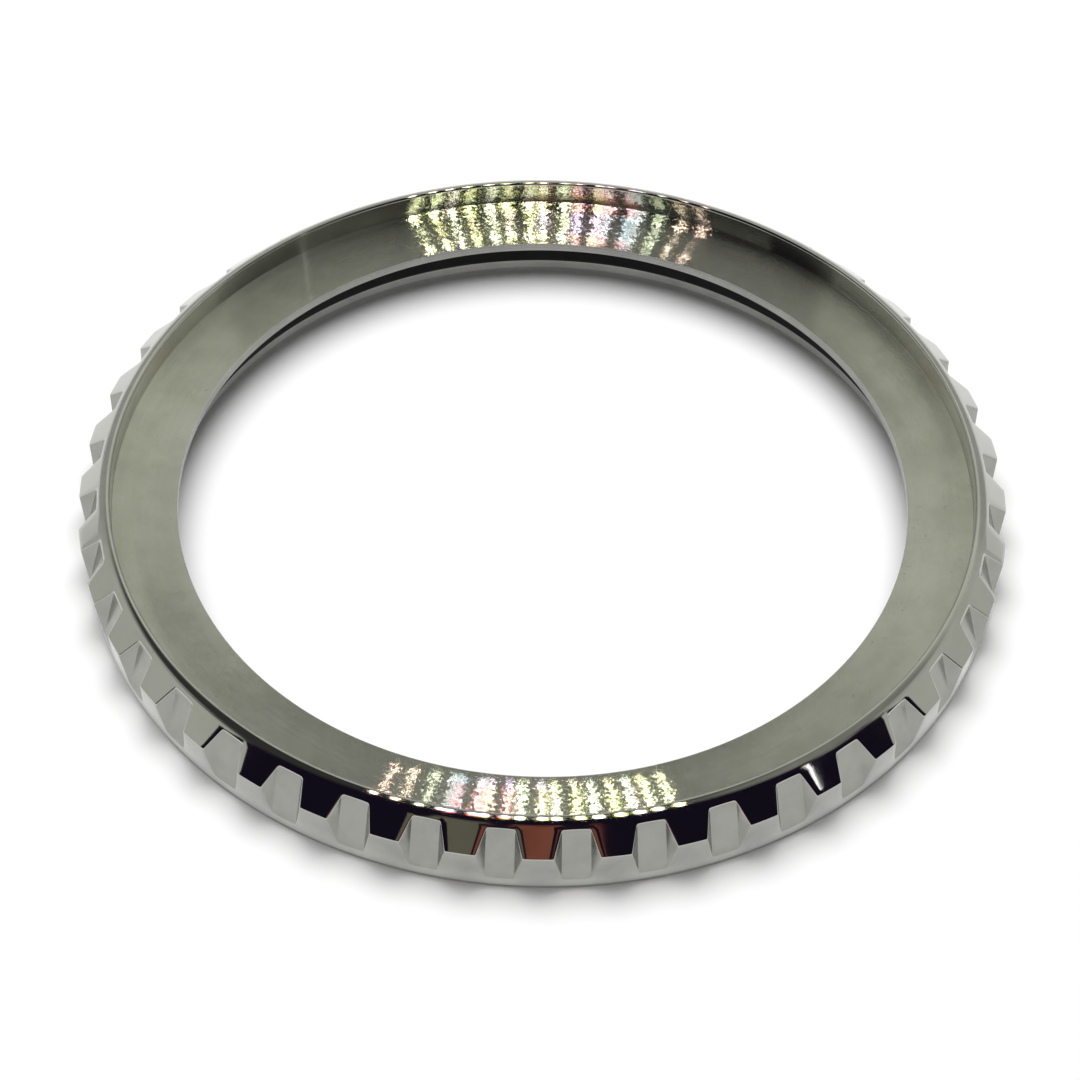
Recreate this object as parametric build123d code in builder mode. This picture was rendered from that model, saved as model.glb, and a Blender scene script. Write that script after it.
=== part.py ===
from build123d import *
import os
from math import hypot, pi, radians, tan

os.makedirs("parts", exist_ok=True)

# A rotating bezel for a diver's watch, in millimetres, lying on its foot.
# +Z is the turning axis, pointing from the case to the wearer, and the origin
# is the centre of the foot. One grip tooth is centred on each of +X, +Y, -X and -Y.

# Recess that a flat insert is stuck into. The insert's diameter sets the size of
# the bezel, and every other radius follows from it by the walls between.
insert_diameter = 38.0
insert_clearance = 0.05
insert_recess_depth = 1.15
insert_corner_round = 0.06

# Turned outside of the bezel ring
rim_width = 0.28
rim_outer_round = 0.12
rim_inner_round = 0.05
bevel_width = 1.17
bevel_drop = 1.2
corner_round = 0.04
foot_inset = 0.34  # how far the side wall leans in from the bevel to the foot
foot_chamfer = 0.08

# Stepped bore: the upper lip stands over the case, the lower lip snaps onto it
lower_lip_height = 0.55
case_bore_lead_in = 0.12
upper_lip_thickness = 0.45
upper_lip_reach = 0.75  # how far it stands further in than the lower lip
opening_edge_round = 0.05

# Rubber gasket in the groove between the two lips
gasket_height = 1.3
gasket_width = 1.05
gasket_proud = 0.2  # how far its nose stands out of the lower lip, to grip the case
gasket_nose_round = 0.35
gasket_back_round = 0.15
gasket_clearance = 0.05

# Grip notches: a flat floor cut across the corner, with slanted flanks
notch_count = 40
notch_floor_width = 1.18
notch_flank_angle = 32.5
notch_top_drop = 0.31  # where the floor runs out on the bevel, below the rim
notch_foot_height = 0.68  # where it runs out on the side wall, above the foot

# Click track under the ring, and the flat spring ring that clicks in it
click_count = 120
click_tooth_depth = 0.25
click_land = 0.1  # flat left between two teeth at the track's inner side
click_track_depth = 1.0
click_track_margin = 0.1  # plain shoulder between the teeth and each wall
track_wall = 0.56  # steel between the click track and the side wall, at the foot
skirt_wall = 0.45  # steel between the gasket groove and the click track
spring_thickness = 0.25
spring_width = 1.05
spring_clearance = 0.15
tongue_count = 3
tongue_length = 4.2
tongue_width = 0.5
tongue_root = 0.4
tongue_slot = 0.1
tongue_tip_gap = 0.05
tongue_window_gap = 0.5
tongue_engagement = 0.1
first_tongue_click = 10  # the tooth that the first tongue rests in, counted from +X
stud_notch_diameter = 0.6  # notches that hold the spring ring on the case's studs

# How far each cutting tool runs past the metal
overrun = 1.0

# Radii that follow: from the insert out to the corner between bevel and side wall,
# which is 41 mm across, and then from the foot in to the opening
insert_recess_radius = insert_diameter / 2 + insert_clearance
rim_radius = insert_recess_radius + rim_width
outer_radius = rim_radius + bevel_width
foot_radius = outer_radius - foot_inset
track_outer_radius = foot_radius - track_wall
spring_outer_radius = track_outer_radius - spring_clearance
spring_inner_radius = spring_outer_radius - spring_width
track_inner_radius = spring_inner_radius - spring_clearance
groove_radius = track_inner_radius - skirt_wall
gasket_back_radius = groove_radius - gasket_clearance
gasket_nose_radius = gasket_back_radius - gasket_width
case_bore_radius = gasket_nose_radius + gasket_proud
opening_radius = case_bore_radius - upper_lip_reach

# Heights that follow, from the foot up to the rim, 3.5 mm high
groove_ceiling = lower_lip_height + gasket_height + gasket_clearance
seat_height = groove_ceiling + upper_lip_thickness
height = seat_height + insert_recess_depth
corner_height = height - bevel_drop

# The two ends of a notch's floor, on the bevel and on the side wall
notch_top_height = height - notch_top_drop
notch_top_radius = rim_radius + bevel_width * notch_top_drop / bevel_drop
notch_foot_radius = foot_radius + foot_inset * notch_foot_height / corner_height
notch_run = notch_foot_radius - notch_top_radius
notch_fall = notch_top_height - notch_foot_height
notch_floor_length = hypot(notch_run, notch_fall)
notch_pitch_angle = 360 / notch_count
front_azimuth = -90

# Turned section of the bezel ring, from the foot outwards and round
ring_foot_outer = (foot_radius, 0)
ring_corner = (outer_radius, corner_height)
ring_rim_outer = (rim_radius, height)
ring_rim_inner = (insert_recess_radius, height)
ring_seat_outer = (insert_recess_radius, seat_height)
ring_seat_inner = (opening_radius, seat_height)
ring_bore_foot = (case_bore_radius, 0)

with BuildPart() as notch_cutter:
    # The floor faces outwards, and the cutter runs along it from bevel to side wall.
    notch_plane = Plane(
        origin=(notch_top_radius, 0, notch_top_height),
        x_dir=(0, 1, 0),
        z_dir=(notch_run, 0, -notch_fall),
    )
    cutter_height = bevel_width + overrun
    floor_half = notch_floor_width / 2
    mouth_half = floor_half + cutter_height * tan(radians(notch_flank_angle))
    with BuildSketch(notch_plane):
        with BuildLine():
            Polyline(
                (-floor_half, 0),
                (floor_half, 0),
                (mouth_half, cutter_height),
                (-mouth_half, cutter_height),
                close=True,
            )
        make_face()
    extrude(amount=notch_floor_length + overrun, both=True)

with BuildPart() as click_tooth_cutter:
    # A ramp that ends in a steep face just ahead of a spring tongue's tip
    tooth_inner_radius = track_inner_radius + click_track_margin
    tooth_outer_radius = track_outer_radius - click_track_margin
    tooth_ramp = 2 * pi * tooth_inner_radius / click_count - click_land
    with BuildSketch(Plane.YZ.offset(tooth_inner_radius)):
        with BuildLine():
            Polyline(
                (tongue_tip_gap - tooth_ramp, click_track_depth),
                (tongue_tip_gap, click_track_depth + click_tooth_depth),
                (tongue_tip_gap, click_track_depth),
                close=True,
            )
        make_face()
    extrude(amount=tooth_outer_radius - tooth_inner_radius)

with BuildPart() as bezel_ring:
    with BuildSketch(Plane.XZ) as ring_section:
        with BuildLine():
            Polyline(
                ring_foot_outer,
                ring_corner,
                ring_rim_outer,
                ring_rim_inner,
                ring_seat_outer,
                ring_seat_inner,
                (opening_radius, groove_ceiling),
                (groove_radius, groove_ceiling),
                (groove_radius, lower_lip_height),
                (case_bore_radius, lower_lip_height),
                ring_bore_foot,
                (track_inner_radius, 0),
                (track_inner_radius, click_track_depth),
                (track_outer_radius, click_track_depth),
                (track_outer_radius, 0),
                close=True,
            )
        make_face()
        for corner, size in (
            (ring_corner, corner_round),
            (ring_rim_outer, rim_outer_round),
            (ring_rim_inner, rim_inner_round),
            (ring_seat_outer, insert_corner_round),
            (ring_seat_inner, opening_edge_round),
        ):
            fillet(ring_section.vertices().sort_by_distance(corner)[0], radius=size)
        for corner, size in (
            (ring_foot_outer, foot_chamfer),
            (ring_bore_foot, case_bore_lead_in),
        ):
            chamfer(ring_section.vertices().sort_by_distance(corner)[0], length=size)
    revolve(axis=Axis.Z)
    first_notch = front_azimuth + notch_pitch_angle / 2
    with PolarLocations(0, notch_count, start_angle=first_notch):
        add(notch_cutter.part, mode=Mode.SUBTRACT)
    with PolarLocations(0, click_count):
        add(click_tooth_cutter.part, mode=Mode.SUBTRACT)
bezel_ring.part.label = "bezel_ring"

with BuildPart() as retaining_gasket:
    gasket_top = lower_lip_height + gasket_height
    nose_corners = [
        (gasket_nose_radius, lower_lip_height),
        (gasket_nose_radius, gasket_top),
    ]
    back_corners = [
        (gasket_back_radius, gasket_top),
        (gasket_back_radius, lower_lip_height),
    ]
    with BuildSketch(Plane.XZ) as gasket_section:
        with BuildLine():
            Polyline(*nose_corners, *back_corners, close=True)
        make_face()
        for corners, size in (
            (nose_corners, gasket_nose_round),
            (back_corners, gasket_back_round),
        ):
            for corner in corners:
                fillet(gasket_section.vertices().sort_by_distance(corner)[0], radius=size)
    revolve(axis=Axis.Z)
retaining_gasket.part.label = "retaining_gasket"

with BuildPart() as spring_tongue:
    # A strip that rises from the flat ring, with its tip on the +X axis
    tip_top = click_track_depth + tongue_engagement
    tongue_inner_radius = spring_outer_radius - tongue_width
    with BuildSketch(Plane.YZ):
        with BuildLine():
            Polyline(
                (-tongue_length - tongue_root, 0),
                (-tongue_length, 0),
                (0, tip_top - spring_thickness),
                (0, tip_top),
                (-tongue_length, spring_thickness),
                (-tongue_length - tongue_root, spring_thickness),
                close=True,
            )
        make_face()
    extrude(amount=spring_outer_radius + overrun)
    with BuildSketch():
        Circle(spring_outer_radius)
        Circle(tongue_inner_radius, mode=Mode.SUBTRACT)
    extrude(amount=tip_top + overrun, mode=Mode.INTERSECT)

with BuildPart() as tongue_window:
    # The slot that the tongue was bent up out of, open at the ring's edge
    band_radius = tongue_inner_radius - tongue_slot
    window_length = tongue_length + tongue_window_gap
    with BuildSketch():
        with Locations((0, -tongue_length)):
            Rectangle(
                spring_outer_radius + overrun,
                window_length,
                align=(Align.MIN, Align.MIN),
            )
        Circle(band_radius, mode=Mode.SUBTRACT)
    extrude(amount=spring_thickness)

with BuildPart() as click_spring_ring:
    # Every tongue rests in a tooth, and a stud notch lies midway between two tongues.
    click_angle = 360 / click_count
    tongue_turns = []
    stud_turns = []
    for tongue in range(tongue_count):
        click = first_tongue_click + round(click_count * tongue / tongue_count)
        tongue_turns.append(Location((0, 0, 0), (0, 0, click * click_angle)))
        stud_click = click + click_count / tongue_count / 2
        stud_turns.append(Location((0, 0, 0), (0, 0, stud_click * click_angle)))
    with BuildSketch():
        Circle(spring_outer_radius)
        Circle(spring_inner_radius, mode=Mode.SUBTRACT)
        with Locations(*(turn * Pos(spring_outer_radius, 0) for turn in stud_turns)):
            Circle(stud_notch_diameter / 2, mode=Mode.SUBTRACT)
    extrude(amount=spring_thickness)
    with Locations(*tongue_turns):
        add(tongue_window.part, mode=Mode.SUBTRACT)
        add(spring_tongue.part)
click_spring_ring.part.label = "click_spring_ring"

for piece in (bezel_ring, retaining_gasket, click_spring_ring):
    export_step(piece.part, f"parts/{piece.part.label}.step")
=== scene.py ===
"""Looks of the rotating watch bezel: the turned and milled steel ring, its black gasket and
the click spring ring under it, on a white table under a fan of narrow lamps."""

from math import cos, pi, radians, sin, sqrt, tan

import bmesh
import bpy
import numpy as np
from mathutils import Matrix, Vector


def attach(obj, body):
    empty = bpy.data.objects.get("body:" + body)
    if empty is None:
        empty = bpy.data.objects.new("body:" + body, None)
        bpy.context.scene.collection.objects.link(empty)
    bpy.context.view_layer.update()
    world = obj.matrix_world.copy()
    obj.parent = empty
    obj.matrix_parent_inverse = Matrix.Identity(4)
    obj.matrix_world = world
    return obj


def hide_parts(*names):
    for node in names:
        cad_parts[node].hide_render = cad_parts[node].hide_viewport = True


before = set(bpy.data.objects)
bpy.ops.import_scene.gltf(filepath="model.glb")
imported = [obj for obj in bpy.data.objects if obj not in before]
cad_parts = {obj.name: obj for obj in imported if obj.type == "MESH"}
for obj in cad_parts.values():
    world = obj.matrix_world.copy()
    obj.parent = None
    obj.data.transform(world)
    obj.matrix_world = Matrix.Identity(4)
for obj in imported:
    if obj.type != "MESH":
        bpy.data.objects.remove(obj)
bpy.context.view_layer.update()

MM = 0.001

# Turned section of the ring, in millimetres
RIM_TOP = 3.5
RECESS_RADIUS = 19.05
RIM_RADIUS = 19.33
RIM_INNER_ROUND = 0.12
RIM_CREST_TILT = 20.0
CORNER_RADIUS = 20.5
CORNER_HEIGHT = 2.3
CORNER_ROUND = 0.07
FOOT_RADIUS = 20.16
FOOT_CHAMFER = 0.14
SEAT_HEIGHT = 2.35
SEAT_FILLET = 0.025
OPENING_RADIUS = 16.15
OPENING_ROUND = 0.05
GROOVE_RADIUS = 17.8
GROOVE_CEILING = 1.9
LIP_HEIGHT = 0.55
BORE_RADIUS = 16.9
BORE_LEAD_IN = 0.12
TRACK_OUTER = 19.6
TRACK_INNER = 18.25
TRACK_DEPTH = 1.0

# Click teeth on the ceiling of the track. Each is a ramp that starts on one side of the tooth's
# own radial line and ends in a steep face on the other, with a flat land left to the next tooth.
CLICKS = 120
TOOTH_OUTER = 19.5
TOOTH_INNER = 18.35
TOOTH_RISE = 0.25
TOOTH_LAND = 0.1
TOOTH_END = 0.05
TOOTH_START = TOOTH_END + TOOTH_LAND - 2 * pi * TOOTH_INNER / CLICKS

# Grip notches: a flat floor from the bevel down to the side wall, between slanted flanks
NOTCHES = 40
NOTCH_TOP = 3.19
NOTCH_FOOT = 0.68
FLOOR_HALF = 0.59
FLANK_ANGLE = 32.5
EDGE_ROUND = 0.05
CUTTER_ROUND = 0.11
HALF_PITCH = radians(180 / NOTCHES)

# Gasket section
GASKET_NOSE = 16.7
GASKET_BACK = 17.75
GASKET_FOOT = 0.55
GASKET_TOP = 1.85
NOSE_ROUND = 0.35
BACK_ROUND = 0.15

# Heights of the circles of points on the bevel, the side wall and the plain band above the foot,
# how evenly the columns are spread on that band, radii of the circles on the seat, and how far
# apart the three rows at a notch's end run across a tooth's land
BEVEL_ROWS = (3.03, 2.93, 2.78, 2.6, 2.44)
WALL_ROWS = (2.1, 1.85, 1.55, 1.27, 1.05)
BAND_ROWS = (0.56, 0.45, 0.25, FOOT_CHAMFER)
BAND_SPREAD = (0.25, 0.6, 0.9, 1.0)
SEAT_ROWS = (17.1, 18.1)
LAND_STEP = 0.02

# Columns of points in half a notch, in a whole notch and round the ring, and round the gasket
HALF_COLUMNS = 12
CELL_COLUMNS = 2 * HALF_COLUMNS
COLUMNS = NOTCHES * CELL_COLUMNS
GASKET_COLUMNS = 480

# Points closer than this, in metres, are merged; edges sharper than this, in degrees, stay sharp
MERGE_DISTANCE = 2e-8
SHARP_ANGLE = 38.0


def arc(centre, radius, start, end, steps):
    """Points of a circular arc from the start angle to the end angle in degrees, both included."""
    angles = np.radians(np.linspace(start, end, steps))
    return np.stack([centre[0] + radius * np.cos(angles), centre[1] + radius * np.sin(angles)], -1)


def edge_blend(before, corner, after):
    """Middle point of the parabola that leaves one face at `before` and meets the next at `after`."""
    return 0.25 * before + 0.5 * corner + 0.25 * after


bevel_slope = (CORNER_RADIUS - RIM_RADIUS) / (RIM_TOP - CORNER_HEIGHT)
wall_slope = (CORNER_RADIUS - FOOT_RADIUS) / CORNER_HEIGHT
bevel_angle = np.degrees(np.arctan2(1.0, bevel_slope))
wall_angle = -np.degrees(np.arctan(wall_slope))


def bevel_radius(z):
    """The bevel is a cone: its radius grows evenly from the rim down to the corner."""
    return RIM_RADIUS + bevel_slope * (RIM_TOP - z)


def wall_radius(z):
    """The side wall is a cone that leans in towards the foot."""
    return FOOT_RADIUS + wall_slope * z


floor_run = wall_radius(NOTCH_FOOT) - bevel_radius(NOTCH_TOP)
floor_fall = NOTCH_TOP - NOTCH_FOOT
floor_length = sqrt(floor_run ** 2 + floor_fall ** 2)


def floor_distance(z):
    """A notch floor is a plane across the corner: it stands evenly further out as it goes down."""
    return bevel_radius(NOTCH_TOP) + floor_run / floor_fall * (NOTCH_TOP - z)


def corner_arc():
    """The round between the bevel and the side wall: a circle that touches both cones."""
    turn = radians(bevel_angle - wall_angle)
    bevel_normal = np.array([cos(radians(bevel_angle)), sin(radians(bevel_angle))])
    wall_normal = np.array([cos(radians(wall_angle)), sin(radians(wall_angle))])
    inward = (bevel_normal + wall_normal) / np.linalg.norm(bevel_normal + wall_normal)
    centre = np.array([CORNER_RADIUS, CORNER_HEIGHT]) - inward * CORNER_ROUND / cos(turn / 2)
    return arc(centre, CORNER_ROUND, bevel_angle, wall_angle, 5)


def rim_crown():
    """The polished crown of the rim: an arc that starts at the end of the inner round, where the
    surface already tilts outwards a little, and runs out smoothly into the bevel."""
    low, high = radians(RIM_CREST_TILT), radians(90 - bevel_angle)
    start_radius = RECESS_RADIUS + RIM_INNER_ROUND * (1 + sin(low))
    start = np.array([start_radius, RIM_TOP - RIM_INNER_ROUND * (1 - cos(low))])
    shortfall = RIM_TOP - start[1] - (start[0] - RIM_RADIUS) / bevel_slope
    radius = shortfall / ((sin(high) - sin(low)) / bevel_slope - (cos(low) - cos(high)))
    centre = start - radius * np.array([sin(low), cos(low)])
    return arc(centre, radius, 90 - RIM_CREST_TILT, bevel_angle, 10)


def cutter_profile():
    """Half of the notch cutter's section, as sideways distance, height above the floor and the
    direction of the surface there: the flat floor, a small round at the cutter's corner, then
    the flank. Given from the flank's start (column 6) to the middle of the floor (column 12)."""
    setback = CUTTER_ROUND * tan(radians(90 - FLANK_ANGLE) / 2)
    turn = np.radians(np.linspace(-FLANK_ANGLE, -90, 4))
    flat = FLOOR_HALF - setback
    y = np.concatenate([flat + CUTTER_ROUND * np.cos(turn), flat * np.array([2, 1, 0]) / 3])
    rise = np.concatenate([CUTTER_ROUND * (1 + np.sin(turn)), np.zeros(3)])
    facing = np.concatenate([np.stack([-np.cos(turn), -np.sin(turn)], -1), [[0, 1]] * 3])
    return y, rise, facing


def cutter_distance(z, rise):
    """Distance from the axis of a point this high above the notch floor, at height z."""
    return floor_distance(z) + rise * floor_length / floor_fall


def notch_section(radius, z):
    """Half of one notch cell at the given heights, from the tooth's middle to the notch's middle.

    Columns 0 to 3 lie on the tooth's round land, 3 to 5 on the rounded mouth edge, 5 to 6 on the
    slanted flank, 6 to 9 on the cutter's corner round and 9 to 12 on the flat floor. The mouth is
    where the flank, which opens by its angle as it rises, meets the circle of that radius."""
    radius, z = radius[:, None], z[:, None]
    y_cut, rise_cut, _ = cutter_profile()
    mouth_y = np.full_like(z, FLOOR_HALF)
    for _ in range(20):
        mouth_x = np.sqrt(radius ** 2 - mouth_y ** 2)
        rise = (mouth_x - floor_distance(z)) * floor_fall / floor_length
        mouth_y = FLOOR_HALF + np.maximum(rise, 0) * tan(radians(FLANK_ANGLE))
    flank_x, flank_y = cutter_distance(z, rise_cut[0]) - mouth_x, y_cut[0] - mouth_y
    flank_width = np.hypot(flank_x, flank_y)
    ease = np.minimum(EDGE_ROUND, 0.8 * flank_width)
    land_angle = np.arctan2(mouth_y, mouth_x) + ease / radius
    angles = HALF_PITCH + (land_angle - HALF_PITCH) * np.arange(4) / 3
    x = [radius * np.cos(angles)]
    y = [radius * np.sin(angles)]
    stop_x = mouth_x + flank_x * ease / flank_width
    stop_y = mouth_y + flank_y * ease / flank_width
    x += [edge_blend(x[0][:, 3:], mouth_x, stop_x), stop_x, cutter_distance(z, rise_cut)]
    y += [edge_blend(y[0][:, 3:], mouth_y, stop_y), stop_y, y_cut + 0 * z]
    x, y = np.concatenate(x, 1), np.concatenate(y, 1)
    return x, y, z + 0 * x


def unit(vectors):
    """The same directions with length one."""
    return vectors / np.linalg.norm(vectors, axis=-1, keepdims=True)


def notch_end(radius_at, start, outward):
    """Three rows round the end of a notch: just outside its edge, on it and just inside it.

    The edge is where the cutter's section, moved along its path, leaves the cone. Across the edge
    the rows are one parabola, set off at right angles to the edge, so the round has the same width
    as along the mouth and runs into it at a mitre, where several columns share one point.
    `outward` is 1 at the notch's top and -1 at its foot. The last value is the rows' angles."""
    y, rise, facing = cutter_profile()
    z = np.full_like(y, start)
    step = 1e-4
    for _ in range(12):
        gap = np.sqrt(radius_at(z) ** 2 - y ** 2) - cutter_distance(z, rise)
        ahead = np.sqrt(radius_at(z + step) ** 2 - y ** 2) - cutter_distance(z + step, rise)
        z = z - gap * step / (ahead - gap)
    edge = np.stack([cutter_distance(z, rise), y, z], -1)
    past = np.array([z[0] - outward * EDGE_ROUND])
    mouth_x, mouth_y, _ = notch_section(radius_at(past), past)
    beyond = np.stack([mouth_x[:, 4], mouth_y[:, 4], past], -1)
    middle = edge[-2:-1] * (1, -1, 1)
    tangent = unit(np.concatenate([beyond, edge[:-1]]) - np.concatenate([edge[1:], middle]))
    cone_slope = radius_at(start + 1) - radius_at(start)
    angle = np.arctan2(edge[:, 1], edge[:, 0])
    cone_rise = np.full_like(angle, -cone_slope)
    cone_normal = unit(np.stack([np.cos(angle), np.sin(angle), cone_rise], -1))
    floor_normal = np.array([floor_fall, 0, floor_run]) / floor_length
    cut_normal = facing[:, 1:] * floor_normal + facing[:, :1] * np.array([0, 1, 0])
    heart_height = (NOTCH_TOP + NOTCH_FOOT) / 2
    heart = np.array([floor_distance(heart_height), 0, heart_height])
    away = np.cross(tangent, cone_normal)
    away = unit(away * np.sign(np.sum(away * (edge - heart), 1))[:, None])
    into = np.cross(tangent, cut_normal)
    into = unit(-into * np.sign(np.sum(into * (edge - heart), 1))[:, None])
    outside = edge + EDGE_ROUND * away
    angle = np.arctan2(outside[:, 1], outside[:, 0])
    outside[:, 0] = radius_at(outside[:, 2]) * np.cos(angle)
    outside[:, 1] = radius_at(outside[:, 2]) * np.sin(angle)
    inside = edge + EDGE_ROUND * into
    inside[:, 1] = np.maximum(inside[:, 1], 0)
    inside[:, 0] = cutter_distance(inside[:, 2], np.interp(inside[:, 1], y[::-1], rise[::-1]))
    between = edge_blend(outside, edge, inside)
    land = HALF_PITCH + (angle[0] - HALF_PITCH) * np.arange(3) / 3
    rows = []
    mitre = (outside[0], between[0], inside[0])
    for depth, part in enumerate((outside, between, inside)):
        z_land = np.full(3, outside[0, 2] + outward * LAND_STEP * (1 - depth))
        land_radius = radius_at(z_land)
        on_land = np.stack([land_radius * np.cos(land), land_radius * np.sin(land), z_land], -1)
        shared = np.stack([mitre[min(depth, k)] for k in range(3)])
        rows.append(np.concatenate([on_land, shared, part]))
    rows = np.stack(rows if outward > 0 else rows[::-1])
    gathered = np.concatenate([land, np.repeat(angle[:1], 3), angle])
    return rows[..., 0], rows[..., 1], rows[..., 2], gathered


def fanned_rows(radius, z, gathered, spread):
    """Rows of a plain cone beside a notch's end: the columns spread out to an even pitch."""
    even = HALF_PITCH * (1 - np.arange(HALF_COLUMNS + 1) / HALF_COLUMNS)
    angles = gathered[None] + (even - gathered)[None] * np.asarray(spread)[:, None]
    radius, z = np.asarray(radius)[:, None], np.asarray(z)[:, None]
    return radius * np.cos(angles), radius * np.sin(angles), z + 0 * angles


def whole_circle(x, y, z):
    """Mirrors each half cell about the notch's middle and repeats the cell round the ring."""
    back = slice(HALF_COLUMNS - 1, 0, -1)
    x = np.concatenate([x, x[:, back]], 1)[:, None]
    z = np.concatenate([z, z[:, back]], 1)[:, None]
    y = np.concatenate([-y, y[:, back]], 1)[:, None]
    turns = ((2 * np.arange(NOTCHES) + 1) * HALF_PITCH)[:, None]
    round_x = x * np.cos(turns) - y * np.sin(turns)
    round_y = x * np.sin(turns) + y * np.cos(turns)
    round_z = z + 0 * round_x
    return np.stack([round_x, round_y, round_z], -1).reshape(len(x), COLUMNS, 3)


def plain_rows(points, columns=COLUMNS):
    """Full circles of the given radius and height, with even columns."""
    points = np.asarray(points, float)
    angles = 2 * pi * np.arange(columns) / columns
    rows = np.empty((len(points), columns, 3))
    rows[..., 0] = points[:, :1] * np.cos(angles)
    rows[..., 1] = points[:, :1] * np.sin(angles)
    rows[..., 2] = points[:, 1:]
    return rows


def tooth_rows():
    """Four circles across the click teeth. Each tooth has eight columns: the top and foot of its
    steep face, the middle of the land after it, and the ramp up to the next steep face."""
    per_tooth = COLUMNS // CLICKS
    ramp = np.linspace(0, 1, 6)[:5]
    pitch = 2 * pi / CLICKS
    rise = np.concatenate([[1, 0, 0], ramp])
    rows = np.empty((4, COLUMNS, 3))
    tooth = np.repeat(np.arange(CLICKS), per_tooth)
    circles = ((TOOTH_OUTER, 0), (TOOTH_OUTER, 1), (TOOTH_INNER, 1), (TOOTH_INNER, 0))
    for row, (radius, raised) in enumerate(circles):
        steep = np.arcsin(TOOTH_END / radius)
        ramp_start = pitch + np.arcsin(TOOTH_START / radius)
        ramp_y = TOOTH_START + (TOOTH_END - TOOTH_START) * ramp
        face = [steep, steep, (steep + ramp_start) / 2]
        column = np.concatenate([face, pitch + np.arcsin(ramp_y / radius)])
        angles = tooth * pitch + np.tile(column, CLICKS)
        rows[row, :, 0] = radius * np.cos(angles)
        rows[row, :, 1] = radius * np.sin(angles)
        rows[row, :, 2] = TRACK_DEPTH + TOOTH_RISE * raised * np.tile(rise, CLICKS)
    return rows


def mesh_from_loops(name, rows, patch, materials):
    """A closed surface from circles of points, joined to each other in turn and back to the first.

    `patch` holds a material number for every square between two rows and two columns. Squares
    whose corners meet become triangles when the doubles are merged."""
    count, columns = rows.shape[:2]
    row, column = np.meshgrid(np.arange(count), np.arange(columns), indexing="ij")
    next_row, next_column = (row + 1) % count, (column + 1) % columns
    corners = np.stack(
        [row * columns + column, next_row * columns + column,
         next_row * columns + next_column, row * columns + next_column], -1
    ).reshape(-1, 4)
    points = rows.reshape(-1, 3) * MM
    first, second, third, fourth = (points[corners[:, k]] for k in range(4))
    volume = np.sum(first * (np.cross(second, third) + np.cross(third, fourth)))
    u = np.stack([column, column, column + 1, column + 1], -1).reshape(-1, 4) / columns
    v = np.stack([row, row + 1, row + 1, row], -1).reshape(-1, 4) / count
    if volume < 0:
        corners, u, v = corners[:, ::-1], u[:, ::-1], v[:, ::-1]
    mesh = bpy.data.meshes.new(name)
    mesh.vertices.add(len(points))
    mesh.vertices.foreach_set("co", points.ravel())
    mesh.loops.add(corners.size)
    mesh.loops.foreach_set("vertex_index", corners.ravel().astype(np.int32))
    mesh.polygons.add(len(corners))
    mesh.polygons.foreach_set("loop_start", np.arange(0, corners.size, 4, dtype=np.int32))
    mesh.polygons.foreach_set("material_index", patch.ravel().astype(np.int32))
    mesh.polygons.foreach_set("use_smooth", np.ones(len(corners), bool))
    mesh.update(calc_edges=True)
    mesh.uv_layers.new(name="round")
    mesh.uv_layers["round"].data.foreach_set("uv", np.stack([u, v], -1).astype(np.float32).ravel())
    build = bmesh.new()
    build.from_mesh(mesh)
    bmesh.ops.remove_doubles(build, verts=build.verts, dist=MERGE_DISTANCE)
    build.to_mesh(mesh)
    build.free()
    mesh.validate()
    for material in materials:
        mesh.materials.append(material)
    mesh.set_sharp_from_angle(angle=radians(SHARP_ANGLE))
    piece = bpy.data.objects.new(name, mesh)
    bpy.context.scene.collection.objects.link(piece)
    clean = piece.modifiers.new("face_weights", "WEIGHTED_NORMAL")
    clean.keep_sharp = True
    clean.weight = 100
    return piece


# Material numbers on the ring
POLISHED, SATIN, TURNED, BORE, RIM, RECESS, SIDE = range(7)


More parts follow.
